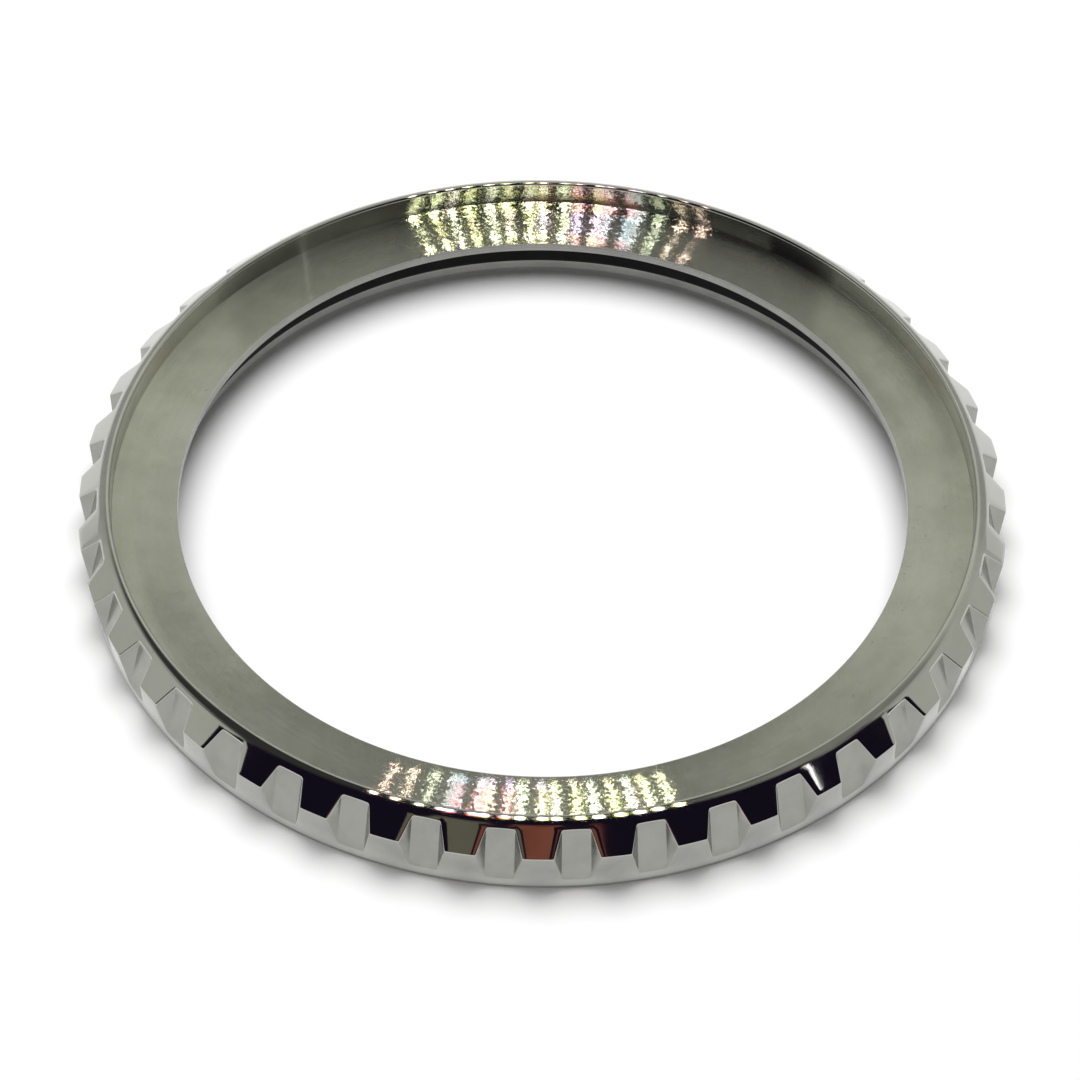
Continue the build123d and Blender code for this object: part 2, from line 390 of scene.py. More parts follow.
def bezel_ring_surface(materials):
    """The ring as one closed surface: its turned section carried round the axis, with the forty
    notches and the click teeth worked into the circles that pass through them."""
    crown = rim_crown()
    corner = corner_arc()
    blocks, patches = [], []

    def add(points, *kinds):
        """Adds circles. A kind is a material number, or one for each interval of the half cell."""
        blocks.append(points)
        for kind in kinds:
            half = np.full(HALF_COLUMNS, kind) if np.isscalar(kind) else np.asarray(kind)
            patches.append(np.tile(np.concatenate([half, half[::-1]]), NOTCHES))

    bevel_kinds = [POLISHED] * 5 + [SATIN] * 7
    wall_kinds = [SIDE] * 4 + [SATIN] * 8
    top_x, top_y, top_z, top_corner = notch_end(bevel_radius, NOTCH_TOP, 1)
    spread = np.linspace(1.0, 0.15, len(crown)) ** 1.5
    crown_rows = whole_circle(*fanned_rows(crown[:, 0], crown[:, 1], top_corner, spread))
    add(crown_rows, *[RIM] * (len(crown) - 1), POLISHED)
    add(whole_circle(top_x, top_y, top_z), *[POLISHED] * 2, bevel_kinds)
    bevel_z = np.array(BEVEL_ROWS)
    add(whole_circle(*notch_section(bevel_radius(bevel_z), bevel_z)), *[bevel_kinds] * len(bevel_z))
    add(whole_circle(*notch_section(corner[:, 0], corner[:, 1])), *[bevel_kinds] * 4, wall_kinds)
    wall_z = np.array(WALL_ROWS)
    add(whole_circle(*notch_section(wall_radius(wall_z), wall_z)), *[wall_kinds] * len(wall_z))
    foot_x, foot_y, foot_z, foot_corner = notch_end(wall_radius, NOTCH_FOOT, -1)
    add(whole_circle(foot_x, foot_y, foot_z), wall_kinds, *[SIDE] * 2)
    band_z = np.array(BAND_ROWS)
    band = whole_circle(*fanned_rows(wall_radius(band_z), band_z, foot_corner, BAND_SPREAD))
    add(band, *[SIDE] * len(band_z))
    foot_face = [(FOOT_RADIUS - FOOT_CHAMFER, 0), (TRACK_OUTER, 0), (TRACK_OUTER, TRACK_DEPTH)]
    add(plain_rows(foot_face), *[BORE] * 3)
    add(tooth_rows(), *[BORE] * 4)
    add(plain_rows([
        (TRACK_INNER, TRACK_DEPTH), (TRACK_INNER, 0), (BORE_RADIUS + BORE_LEAD_IN, 0),
        (BORE_RADIUS, BORE_LEAD_IN), (BORE_RADIUS, LIP_HEIGHT), (GROOVE_RADIUS, LIP_HEIGHT),
        (GROOVE_RADIUS, GROOVE_CEILING), (OPENING_RADIUS, GROOVE_CEILING),
    ]), *[BORE] * 8)
    opening_centre = (OPENING_RADIUS + OPENING_ROUND, SEAT_HEIGHT - OPENING_ROUND)
    add(plain_rows(arc(opening_centre, OPENING_ROUND, 180, 90, 4)), *[TURNED] * 4)
    add(plain_rows([(radius, SEAT_HEIGHT) for radius in SEAT_ROWS]), *[TURNED] * len(SEAT_ROWS))
    fillet_centre = (RECESS_RADIUS - SEAT_FILLET, SEAT_HEIGHT + SEAT_FILLET)
    fillet = arc(fillet_centre, SEAT_FILLET, -90, 0, 4)
    add(plain_rows(fillet), *[TURNED] * 3, RECESS)
    inner_centre = (RECESS_RADIUS + RIM_INNER_ROUND, RIM_TOP - RIM_INNER_ROUND)
    inner = arc(inner_centre, RIM_INNER_ROUND, 180, 90 - RIM_CREST_TILT, 8)
    add(plain_rows(inner[:-1]), *[RIM] * (len(inner) - 1))
    return mesh_from_loops("bezel_ring_steel", np.concatenate(blocks), np.stack(patches), materials)


def gasket_surface(material):
    """The gasket's rounded section, with large rounds at the nose and small ones at the back,
    carried round the axis."""
    nose, back = GASKET_NOSE + NOSE_ROUND, GASKET_BACK - BACK_ROUND
    section = np.concatenate([
        arc((nose, GASKET_FOOT + NOSE_ROUND), NOSE_ROUND, 270, 180, 9),
        arc((nose, GASKET_TOP - NOSE_ROUND), NOSE_ROUND, 180, 90, 9),
        arc((back, GASKET_TOP - BACK_ROUND), BACK_ROUND, 90, 0, 6),
        arc((back, GASKET_FOOT + BACK_ROUND), BACK_ROUND, 0, -90, 6),
    ])
    patch = np.zeros((len(section), GASKET_COLUMNS), int)
    return mesh_from_loops("gasket_band", plain_rows(section, GASKET_COLUMNS), patch, [material])


class Shade:
    """Short ways to add and join shader nodes in one node tree."""

    def __init__(self, tree):
        self.tree = tree
        self.x = 0

    def node(self, kind, **settings):
        """Adds a node with these settings."""
        node = self.tree.nodes.new(kind)
        self.x += 180
        node.location = (self.x, 0)
        for name, value in settings.items():
            setattr(node, name, value)
        return node

    def feed(self, socket, value):
        """Joins an output to the socket, or writes a plain value on it."""
        if isinstance(value, bpy.types.NodeSocket):
            self.tree.links.new(value, socket)
        else:
            socket.default_value = value

    def math(self, operation, *values):
        """One arithmetic step on numbers."""
        node = self.node("ShaderNodeMath", operation=operation)
        for socket, value in zip(node.inputs, values):
            self.feed(socket, value)
        return node.outputs[0]

    def vector(self, operation, *values, scale=None):
        """One arithmetic step on vectors."""
        node = self.node("ShaderNodeVectorMath", operation=operation)
        for socket, value in zip(node.inputs, values):
            self.feed(socket, value)
        if scale is not None:
            self.feed(node.inputs["Scale"], scale)
        return node.outputs["Value" if operation == "LENGTH" else "Vector"]

    def ramp(self, value, low, high, start=0.0, end=1.0):
        """A smooth step from start to end as the value goes from low to high."""
        node = self.node("ShaderNodeMapRange", interpolation_type="SMOOTHSTEP", clamp=True)
        for socket, given in zip(node.inputs, (value, low, high, start, end)):
            self.feed(socket, given)
        return node.outputs["Result"]

    def span(self, value, low, full, fading, gone):
        """A mask that rises from low to full and falls again from fading to gone."""
        return self.math("MULTIPLY", self.ramp(value, low, full), self.ramp(value, fading, gone, 1.0, 0.0))

    def share(self, value, base, extra):
        """The base plus this much extra where the value is one."""
        return self.math("ADD", base, self.math("MULTIPLY", value, extra))

    def turned(self, kind, direction):
        """A direction in the object's own frame, turned into the room's frame."""
        node = self.node("ShaderNodeVectorTransform", vector_type=kind)
        node.convert_from, node.convert_to = "OBJECT", "WORLD"
        self.feed(node.inputs[0], direction)
        return node.outputs[0]

    def mix(self, factor, first, second):
        """Blends two colours."""
        node = self.node("ShaderNodeMix", data_type="RGBA")
        self.feed(node.inputs["Factor"], factor)
        for socket, value in ((node.inputs[6], first), (node.inputs[7], second)):
            if not isinstance(value, bpy.types.NodeSocket) and len(value) == 3:
                value = (*value, 1.0)
            self.feed(socket, value)
        return node.outputs[2]

    def noise(self, vector, scale, detail=2.0, roughness=0.5, dimensions="3D"):
        """Smooth random mottling, as a number from 0 to 1."""
        node = self.node("ShaderNodeTexNoise", noise_dimensions=dimensions)
        if dimensions == "1D":
            self.feed(node.inputs["W"], vector)
        else:
            self.feed(node.inputs["Vector"], vector)
        self.feed(node.inputs["Scale"], scale)
        self.feed(node.inputs["Detail"], detail)
        self.feed(node.inputs["Roughness"], roughness)
        return node.outputs["Fac"]


def shader_group(name, inputs, outputs):
    """An empty node group with named sockets, its shade, and the nodes it starts and ends with."""
    group = bpy.data.node_groups.new(name, "ShaderNodeTree")
    for label, kind, value in inputs:
        socket = group.interface.new_socket(label, in_out="INPUT", socket_type=kind)
        socket.default_value = value
    for label, kind in outputs:
        group.interface.new_socket(label, in_out="OUTPUT", socket_type=kind)
    shade = Shade(group)
    start = shade.node("NodeGroupInput")
    end = shade.node("NodeGroupOutput")
    return group, shade, start, end


# Lathe lines: how much they also advance with height, the scale of the drift from line to line
# and its amount in radians, and the scale of the patches that the normal wavers over
LINE_CLIMB = 0.83
DRIFT_SCALE = 9000.0
LINE_DRIFT = 30.0
PATCH_SCALE = 7500.0


def lathe_lines_group():
    """Fine lathe lines on a turned face: each line is a shallow scallop, so the normal leans along
    the section as a sine of the radius and height, with a little drift from line to line, while
    along the line it wavers a little from patch to patch."""
    group, shade, start, end = shader_group(
        "lathe_lines",
        [("Lines per metre", "NodeSocketFloat", 20000.0), ("Lean", "NodeSocketFloat", 0.4),
         ("Waver", "NodeSocketFloat", 0.002)],
        [("Normal", "NodeSocketVector")],
    )
    place = shade.node("ShaderNodeTexCoord")
    position, normal = place.outputs["Object"], place.outputs["Normal"]
    flat = shade.vector("MULTIPLY", position, (1, 1, 0))
    radius = shade.vector("LENGTH", flat)
    around = shade.vector("NORMALIZE", shade.vector("CROSS_PRODUCT", (0, 0, 1), flat))
    along = shade.vector("CROSS_PRODUCT", around, normal)
    parts = shade.node("ShaderNodeSeparateXYZ")
    shade.feed(parts.inputs[0], position)
    line_place = shade.share(parts.outputs["Z"], radius, LINE_CLIMB)
    line = shade.noise(line_place, DRIFT_SCALE, 3.0, 0.6, "1D")
    lines = shade.math("MULTIPLY", line_place, start.outputs["Lines per metre"])
    phase = shade.share(line, shade.math("MULTIPLY", lines, 2 * pi), LINE_DRIFT)
    lean = shade.math("MULTIPLY", shade.math("SINE", phase), start.outputs["Lean"])
    patch = shade.noise(position, PATCH_SCALE, 1.0)
    waver = shade.math("MULTIPLY", shade.math("SUBTRACT", patch, 0.5), start.outputs["Waver"])
    leaned = shade.vector("ADD", normal, shade.vector("SCALE", along, scale=lean))
    leaned = shade.vector("ADD", leaned, shade.vector("SCALE", around, scale=waver))
    turned = shade.turned("NORMAL", shade.vector("NORMALIZE", leaned))
    shade.feed(end.inputs["Normal"], turned)
    return group


def handling_group():
    """Traces of handling on clean steel, each as a mask: soft smears a few millimetres wide, fine
    specks and hairline scratches."""
    group, shade, start, end = shader_group(
        "handling_traces",
        [("Smear size", "NodeSocketFloat", 400.0), ("Speck size", "NodeSocketFloat", 6000.0)],
        [("Smear", "NodeSocketFloat"), ("Speck", "NodeSocketFloat"), ("Scratch", "NodeSocketFloat")],
    )
    place = shade.node("ShaderNodeTexCoord").outputs["Object"]
    smear = shade.ramp(shade.noise(place, start.outputs["Smear size"], 4.0, 0.6), 0.35, 0.7)
    speck = shade.ramp(shade.noise(place, start.outputs["Speck size"], 2.0, 0.5), 0.68, 0.78)
    stretched = shade.node("ShaderNodeMapping")
    stretched.inputs["Scale"].default_value = (300.0, 5200.0, 900.0)
    stretched.inputs["Rotation"].default_value = (0.3, 0.5, 0.9)
    shade.feed(stretched.inputs["Vector"], place)
    scratch = shade.ramp(shade.noise(stretched.outputs[0], 1.0, 1.0), 0.7, 0.76)
    shade.feed(end.inputs["Smear"], smear)
    shade.feed(end.inputs["Speck"], speck)
    shade.feed(end.inputs["Scratch"], scratch)
    return group


def new_material(name):
    """A material with an empty Principled shader, its shade and the shader node."""
    material = bpy.data.materials.new(name)
    material.use_nodes = True
    material.node_tree.nodes.clear()
    shade = Shade(material.node_tree)
    surface = shade.node("ShaderNodeBsdfPrincipled")
    result = shade.node("ShaderNodeOutputMaterial")
    shade.feed(result.inputs["Surface"], surface.outputs[0])
    return material, shade, surface


def place_group(shade, group, **values):
    """Puts a shared node group into a material with its own values."""
    node = shade.node("ShaderNodeGroup", node_tree=group)
    for label, value in values.items():
        shade.feed(node.inputs[label.replace("_", " ")], value)
    return node


def polished_steel(handling):
    """Mirror steel of the rim and bevel: almost no roughness, faint smears and hairlines."""
    material, shade, surface = new_material("bezel_polished_steel")
    traces = place_group(shade, handling, Smear_size=500.0)
    half_smeared = shade.math("MULTIPLY", traces.outputs["Smear"], 0.5)
    colour = shade.mix(half_smeared, (0.50, 0.50, 0.47), (0.44, 0.445, 0.41))
    rough = shade.share(traces.outputs["Smear"], 0.05, 0.03)
    rough = shade.share(traces.outputs["Scratch"], rough, 0.08)
    shade.feed(surface.inputs["Base Color"], colour)
    shade.feed(surface.inputs["Roughness"], rough)
    surface.inputs["Metallic"].default_value = 1.0
    return material


def satin_steel(name, handling, light, dull):
    """Satin steel: a fine blasted grain drawn out up and down the wall."""
    material, shade, surface = new_material(name)
    traces = place_group(shade, handling, Smear_size=900.0)
    place = shade.node("ShaderNodeTexCoord").outputs["Object"]
    stretched = shade.node("ShaderNodeMapping")
    stretched.inputs["Scale"].default_value = (14000.0, 14000.0, 2500.0)
    shade.feed(stretched.inputs["Vector"], place)
    grain = shade.noise(stretched.outputs[0], 1.0, 2.0, 0.6)
    colour = shade.mix(traces.outputs["Smear"], light, dull)
    colour = shade.mix(shade.math("MULTIPLY", grain, 0.18), colour, (0.27, 0.27, 0.25))
    shade.feed(surface.inputs["Base Color"], colour)
    shade.feed(surface.inputs["Roughness"], shade.share(grain, 0.17, 0.07))
    surface.inputs["Metallic"].default_value = 1.0
    bump = shade.node("ShaderNodeBump")
    bump.inputs["Strength"].default_value = 0.12
    bump.inputs["Distance"].default_value = 0.000004
    shade.feed(bump.inputs["Height"], grain)
    shade.feed(surface.inputs["Normal"], bump.outputs[0])
    return material


def turned_steel(name, lathe_lines, handling, lean, lines, light, dull, rough, waver, drawn):
    """Turned steel: lathe lines lean the normal along the section and draw the shine out across
    themselves, and smears change the colour."""
    material, shade, surface = new_material(name)
    traces = place_group(shade, handling, Smear_size=450.0, Speck_size=7000.0)
    lathe = place_group(shade, lathe_lines, Lines_per_metre=lines, Lean=lean, Waver=waver)
    colour = shade.mix(traces.outputs["Smear"], light, dull)
    colour = shade.mix(shade.math("MULTIPLY", traces.outputs["Speck"], 0.5), colour, (0.16, 0.16, 0.15))
    shade.feed(surface.inputs["Base Color"], colour)
    shade.feed(surface.inputs["Roughness"], shade.share(traces.outputs["Smear"], rough, 0.01))
    shade.feed(surface.inputs["Normal"], lathe.outputs["Normal"])
    surface.inputs["Anisotropic"].default_value = drawn
    place = shade.node("ShaderNodeTexCoord")
    around = shade.vector("CROSS_PRODUCT", (0, 0, 1), place.outputs["Object"])
    across = shade.vector("CROSS_PRODUCT", around, place.outputs["Normal"])
    tangent = shade.turned("VECTOR", shade.vector("NORMALIZE", across))
    shade.feed(surface.inputs["Tangent"], tangent)
    surface.inputs["Metallic"].default_value = 1.0
    return material


def gasket_rubber():
    """Matt black rubber with a fine skin."""
    material, shade, surface = new_material("gasket_black_rubber")
    place = shade.node("ShaderNodeTexCoord").outputs["Object"]
    skin = shade.noise(place, 12000.0, 3.0, 0.6)
    bloom = shade.ramp(shade.noise(place, 700.0, 3.0), 0.4, 0.75)
    colour = shade.mix(bloom, (0.003, 0.003, 0.004), (0.007, 0.007, 0.007))
    shade.feed(surface.inputs["Base Color"], colour)
    shade.feed(surface.inputs["Roughness"], shade.share(skin, 0.5, 0.25))
    surface.inputs["Specular IOR Level"].default_value = 0.12
    bump = shade.node("ShaderNodeBump")
    bump.inputs["Strength"].default_value = 0.3
    bump.inputs["Distance"].default_value = 0.00001
    shade.feed(bump.inputs["Height"], skin)
    shade.feed(surface.inputs["Normal"], bump.outputs[0])
    return material


def spring_steel(handling):
    """Stamped spring steel, lightly tumbled, with a faint straw tint in places."""
    material, shade, surface = new_material("spring_stamped_steel")
    traces = place_group(shade, handling, Smear_size=600.0, Speck_size=8000.0)
    colour = shade.mix(traces.outputs["Smear"], (0.52, 0.52, 0.5), (0.46, 0.44, 0.38))
    colour = shade.mix(shade.math("MULTIPLY", traces.outputs["Speck"], 0.6), colour, (0.2, 0.19, 0.17))
    rough = shade.share(traces.outputs["Smear"], 0.28, 0.12)
    rough = shade.share(traces.outputs["Scratch"], rough, 0.15)
    shade.feed(surface.inputs["Base Color"], colour)
    shade.feed(surface.inputs["Roughness"], rough)
    surface.inputs["Metallic"].default_value = 1.0
    return material


# Tones of the room
WALL_SIDE = (0.62, 0.63, 0.58)
WALL_BACK = (0.475, 0.48, 0.46)
WALL_UPPER = (0.775, 0.79, 0.70)
CEILING = (0.05, 0.05, 0.048)
HOOD = (0.011, 0.008, 0.019)
WARM_CARD = (0.30, 0.101, 0.066)
WARM_CARD_DEEP = (0.19, 0.054, 0.036)
GREY_CARD = (0.18, 0.167, 0.13)
TUBE = (9.0, 9.0, 8.7)

# Level of the room for dull surfaces, which the softbox mostly lights
AMBIENT = (0.08, 0.08, 0.08)

# Where one tone of the room runs into the next, as parts of a direction: its reach to the back
# (depth), to the right (side) and up
BACK_WALL_DEPTH = (0.44, 0.6)
UPPER_WALL_DEPTH = (0.17, 0.54)
CEILING_UP = (0.46, 0.6)
HIGH_UP = (0.4, 0.65)
LEFT_SHADE_SIDE = (-0.48, -0.62)
RIGHT_GLOW_SIDE = (0.15, 0.5)
RIGHT_GLOW_SHARE = 0.37

# The hood in front, which stands a little askew, and the cards and the tube inside it. Cards and
# tube have bearings, as the side part over the forward part, and the tube slants.
HOOD_SKEW = 0.11
HOOD_FORWARD = (0.19, 0.23)
HOOD_UP = (0.0, 0.02)
WARM_CARD_BEARINGS = (-0.116, -0.1, 0.094, 0.11)
SIDE_CARD_BEARINGS = (0.207, 0.223, 0.254, 0.27)
SIDE_CARD_SHARE = 0.6
GREY_CARD_BEARINGS = (-0.47, -0.43, -0.22, -0.18)
CARD_TOP_UP = (0.645, 0.675)
TUBE_SLANT = 0.55
TUBE_BEARINGS = (1.683, 1.69, 1.708, 1.715)
TUBE_MIDDLE_UP = 0.5
TUBE_HALF_UP = 0.06

# Narrow lamps overhead, as a fan that opens towards the front from a point above the back. Each
# has its place across the fan, the tints of its soft edge and bright middle in the rear length,
# which the back of the ring shows most, and the same two in the front length, which the front of
# the ring shows most. Edges and middles are half widths across the fan, and each glow holds the
# levels of both.
FAN_POINT = 0.64
LAMPS_UP = (0.5, 0.6)
REAR_LENGTH_DEPTH = (-0.145, -0.135, -0.05, -0.02)
FRONT_LENGTH_DEPTH = (-0.28, -0.26, -0.145, -0.135)
REAR_EDGE = 0.0105
REAR_MIDDLE = 0.005
FRONT_EDGE = 0.0135
FRONT_MIDDLE = 0.0055
REAR_GLOW = (13.0, 34.0)
FRONT_GLOW = (8.0, 17.0)
LAMPS = (
    (0.3554, (0.85, 1.0, 0.25), (1.0, 1.0, 0.8), (1.0, 0.95, 0.45), (1.0, 1.0, 0.85)),
    (0.2981, (1.0, 0.95, 0.1), (1.0, 1.0, 0.7), (0.8, 1.0, 0.6), (1.0, 1.0, 0.9)),
    (0.2506, (0.75, 1.0, 0.3), (1.0, 1.0, 0.95), (1.0, 0.75, 0.7), (1.0, 0.9, 0.88)),
    (0.2032, (1.0, 0.9, 0.15), (1.0, 0.97, 0.75), (0.8, 1.0, 0.25), (1.0, 1.0, 0.75)),
    (0.1483, (0.8, 1.0, 0.35), (1.0, 1.0, 0.9), (0.9, 1.0, 0.7), (1.0, 1.0, 0.95)),
    (0.1043, (1.0, 0.8, 0.3), (1.0, 0.93, 0.88), (0.85, 1.0, 0.2), (1.0, 1.0, 0.7)),
    (0.0473, (0.75, 1.0, 0.15), (0.95, 1.0, 0.7), (1.0, 0.95, 0.8), (1.0, 1.0, 0.95)),
    (0.0124, (0.85, 0.7, 1.0), (0.98, 0.95, 1.0), (1.0, 0.85, 0.15), (1.0, 0.95, 0.6)),
    (-0.0417, (0.8, 1.0, 0.4), (0.97, 1.0, 0.85), (0.7, 1.0, 0.6), (0.95, 1.0, 0.9)),
    (-0.0769, (0.6, 0.3, 1.0), (0.9, 0.8, 1.0), (1.0, 0.3, 0.08), (1.0, 0.5, 0.2)),
    (-0.13, (0.9, 0.45, 1.0), (1.0, 0.85, 1.0), (1.0, 0.7, 0.12), (0.9, 0.7, 0.3)),
    (-0.1563, (0.55, 0.6, 1.0), (0.92, 0.94, 1.0), (0.8, 0.15, 0.1), (0.6, 0.2, 0.16)),
    (-0.2149, (0.4, 0.7, 1.0), (0.55, 0.65, 0.75), (0.8, 0.12, 0.1), (0.6, 0.14, 0.12)),
    (-0.2379, (0.7, 0.8, 0.9), (0.6, 0.65, 0.7), (0.1, 0.04, 0.04), (0.06, 0.03, 0.03)),
    (-0.2944, (0.75, 0.95, 0.4), (0.7, 0.72, 0.66), (0.03, 0.03, 0.03), (0.02, 0.02, 0.02)),
    (-0.3598, (1.0, 0.6, 0.3), (0.75, 0.7, 0.65), (0.03, 0.03, 0.03), (0.02, 0.02, 0.02)),
    (-0.4231, (1.0, 0.5, 0.35), (0.75, 0.66, 0.62), (0.03, 0.03, 0.03), (0.02, 0.02, 0.02)),
)


def lamp_fan(shade, room, fan, edge, middle, glow, tints):
    """Draws the lamps over the room's tone: a soft edge of this half width about each lamp's place
    across the fan, then its bright middle."""
    for (place, *_), (edge_tint, middle_tint) in zip(LAMPS, tints):
        for half_width, level, tint in ((edge, glow[0], edge_tint), (middle, glow[1], middle_tint)):
            colour = tuple(level * part for part in tint)
            room = shade.mix(shade.math("COMPARE", fan, place, half_width), room, colour)
    return room


def hood_inside(shade, direction, side, depth, up):
    """The dark hood round the camera, with warm and grey cards and one bright slanting tube."""
    bearing = shade.math("DIVIDE", side, shade.math("MAXIMUM", shade.math("MULTIPLY", depth, -1.0), 0.05))
    blotch = shade.noise(direction, 9.0, 4.0, 0.6)
    warm = shade.mix(shade.ramp(blotch, 0.4, 0.65), WARM_CARD, WARM_CARD_DEEP)
    inside = shade.mix(shade.span(bearing, *WARM_CARD_BEARINGS), HOOD, warm)
    side_card = shade.math("MULTIPLY", shade.span(bearing, *SIDE_CARD_BEARINGS), SIDE_CARD_SHARE)
    inside = shade.mix(side_card, inside, warm)
    inside = shade.mix(shade.span(bearing, *GREY_CARD_BEARINGS), inside, GREY_CARD)
    inside = shade.mix(shade.ramp(up, *CARD_TOP_UP), inside, HOOD)
    slant = shade.math("SUBTRACT", bearing, shade.math("MULTIPLY", up, TUBE_SLANT))
    tube_height = shade.math("COMPARE", up, TUBE_MIDDLE_UP, TUBE_HALF_UP)
    tube = shade.math("MULTIPLY", shade.span(slant, *TUBE_BEARINGS), tube_height)
    return shade.mix(tube, inside, TUBE)


def studio_world():
    """The room seen by the steel: grey walls, a light upper back wall, a dark ceiling with a fan of
    narrow lamps, and a dark hood in front above the table where the camera stands. Dull surfaces
    get one even level instead, and the camera itself sees plain white."""
    world = bpy.data.worlds.new("studio")
    bpy.context.scene.world = world
    world.use_nodes = True
    world.node_tree.nodes.clear()
    shade = Shade(world.node_tree)
    direction = shade.node("ShaderNodeTexCoord").outputs["Generated"]
    parts = shade.node("ShaderNodeSeparateXYZ")
    shade.feed(parts.inputs[0], direction)
    side, depth, up = (parts.outputs[k] for k in range(3))
    low = shade.mix(shade.ramp(depth, *BACK_WALL_DEPTH), WALL_SIDE, WALL_BACK)
    ceiling = shade.mix(shade.ramp(depth, *UPPER_WALL_DEPTH), CEILING, WALL_UPPER)
    room = shade.mix(shade.ramp(up, *CEILING_UP), low, ceiling)
    high = shade.ramp(up, *HIGH_UP)
    room = shade.mix(shade.math("MULTIPLY", shade.ramp(side, *LEFT_SHADE_SIDE), high), room, CEILING)
    right_glow = shade.math("MULTIPLY", shade.ramp(side, *RIGHT_GLOW_SIDE), high)
    room = shade.mix(shade.math("MULTIPLY", right_glow, RIGHT_GLOW_SHARE), room, WALL_UPPER)
    fan = shade.math("DIVIDE", side, shade.math("SUBTRACT", FAN_POINT, depth))
    rear_tints = [lamp[1:3] for lamp in LAMPS]
    front_tints = [lamp[3:5] for lamp in LAMPS]
    rear_lamps = lamp_fan(shade, room, fan, REAR_EDGE, REAR_MIDDLE, REAR_GLOW, rear_tints)
    front_lamps = lamp_fan(shade, room, fan, FRONT_EDGE, FRONT_MIDDLE, FRONT_GLOW, front_tints)
    light_path = shade.node("ShaderNodeLightPath")
    glossy = light_path.outputs["Is Glossy Ray"]
    lamps_height = shade.math("MULTIPLY", glossy, shade.ramp(up, *LAMPS_UP))
    rear_length = shade.math("MULTIPLY", shade.span(depth, *REAR_LENGTH_DEPTH), lamps_height)
    front_length = shade.math("MULTIPLY", shade.span(depth, *FRONT_LENGTH_DEPTH), lamps_height)
    room = shade.mix(rear_length, room, rear_lamps)
    forward = shade.math("SUBTRACT", shade.math("MULTIPLY", side, HOOD_SKEW), depth)
    hood = shade.math("MULTIPLY", shade.ramp(forward, *HOOD_FORWARD), shade.ramp(up, *HOOD_UP))
    room = shade.mix(hood, room, hood_inside(shade, direction, side, depth, up))
    room = shade.mix(front_length, room, front_lamps)
    room = shade.mix(glossy, AMBIENT, room)
    colour = shade.mix(light_path.outputs["Is Camera Ray"], room, (1, 1, 1))
    background = shade.node("ShaderNodeBackground")
    shade.feed(background.inputs["Color"], colour)
    result = shade.node("ShaderNodeOutputWorld")
    shade.feed(result.inputs["Surface"], background.outputs[0])


# Softbox: its width and distance in metres, its tilt from overhead and the side it stands on in
# degrees, and its power
SOFTBOX_WIDTH = 1.43
SOFTBOX_DISTANCE = 1.4
SOFTBOX_TILT = 12.0
SOFTBOX_SIDE = 105.0
SOFTBOX_WATTS = 24.8


def softbox():
    """A wide soft lamp overhead, a little behind and to the left, that lights the table and the
    dull surfaces and stays outside every reflection."""
    light = bpy.data.lights.new("softbox", "AREA")
    light.shape = "DISK"
    light.size = SOFTBOX_WIDTH
    light.energy = SOFTBOX_WATTS
    lamp = bpy.data.objects.new("softbox", light)
    tilt, turn = radians(SOFTBOX_TILT), radians(SOFTBOX_SIDE)
    towards_lamp = Vector((sin(tilt) * cos(turn), sin(tilt) * sin(turn), cos(tilt)))
    lamp.location = SOFTBOX_DISTANCE * towards_lamp
    lamp.rotation_euler = (0, tilt, turn)
    lamp.visible_glossy = False
    bpy.context.scene.collection.objects.link(lamp)


# Table top in metres: half its width and how far it lies under the foot, its own light for the
# camera, its base colour in reflections, and the painted light it gives off in reflections only:
# strongest near the ring, sinking to the far level over this span of radii, and a little more just
# outside the foot, so the walls that mirror it show less of the ring's shadow
TABLE_HALF = 0.6
TABLE_BELOW = 0.000004
TABLE_LIGHT = 0.02
MIRRORED_WHITE = 0.6
NEAR_PAINTED_GLOW = 0.38
FAR_PAINTED_GLOW = 0.16
SINKING_RADII = (0.03, 0.09)
FOOT_PAINTED_GLOW = 0.28
FOOT_PAINTED_GLOW_RADII = (0.0202, 0.02035, 0.0204, 0.021)


def white_table():
    """The table top: one large flat sheet just under the foot, white to the camera and to
    reflections, where painted light glowing near the ring and just outside the foot makes it show
    less of the ring's shadow."""
    mesh = bpy.data.meshes.new("table_top")
    corners = ((-1, -1), (1, -1), (1, 1), (-1, 1))
    points = [(x * TABLE_HALF, y * TABLE_HALF, -TABLE_BELOW) for x, y in corners]
    mesh.from_pydata(points, [], [(0, 1, 2, 3)])
    table = bpy.data.objects.new("table_top", mesh)
    bpy.context.scene.collection.objects.link(table)
    material, shade, surface = new_material("table_white")
    place = shade.node("ShaderNodeTexCoord").outputs["Object"]
    tone = shade.noise(place, 60.0, 3.0)
    paths = shade.node("ShaderNodeLightPath").outputs
    mirrored = shade.math("MAXIMUM", paths["Is Glossy Ray"], paths["Is Transmission Ray"])
    lit = shade.mix(tone, (0.93, 0.93, 0.93), (0.95, 0.95, 0.95))
    shade.feed(surface.inputs["Base Color"], shade.mix(mirrored, lit, (MIRRORED_WHITE,) * 3))
    surface.inputs["Roughness"].default_value = 0.9
    surface.inputs["Specular IOR Level"].default_value = 0.2
    surface.inputs["Emission Color"].default_value = (1, 1, 1, 1)
    # Painted light: in reflections only, the table glows most near the ring and a little more just outside
    # the foot.
    radius = shade.vector("LENGTH", place)
    painted_glow = shade.ramp(radius, *SINKING_RADII, NEAR_PAINTED_GLOW, FAR_PAINTED_GLOW)
    painted_glow = shade.share(shade.span(radius, *FOOT_PAINTED_GLOW_RADII), painted_glow, FOOT_PAINTED_GLOW)
    own_light = shade.math("MULTIPLY", paths["Is Camera Ray"], TABLE_LIGHT)
    own_light = shade.math("ADD", own_light, shade.math("MULTIPLY", mirrored, painted_glow))
    shade.feed(surface.inputs["Emission Strength"], own_light)
    mesh.materials.append(material)


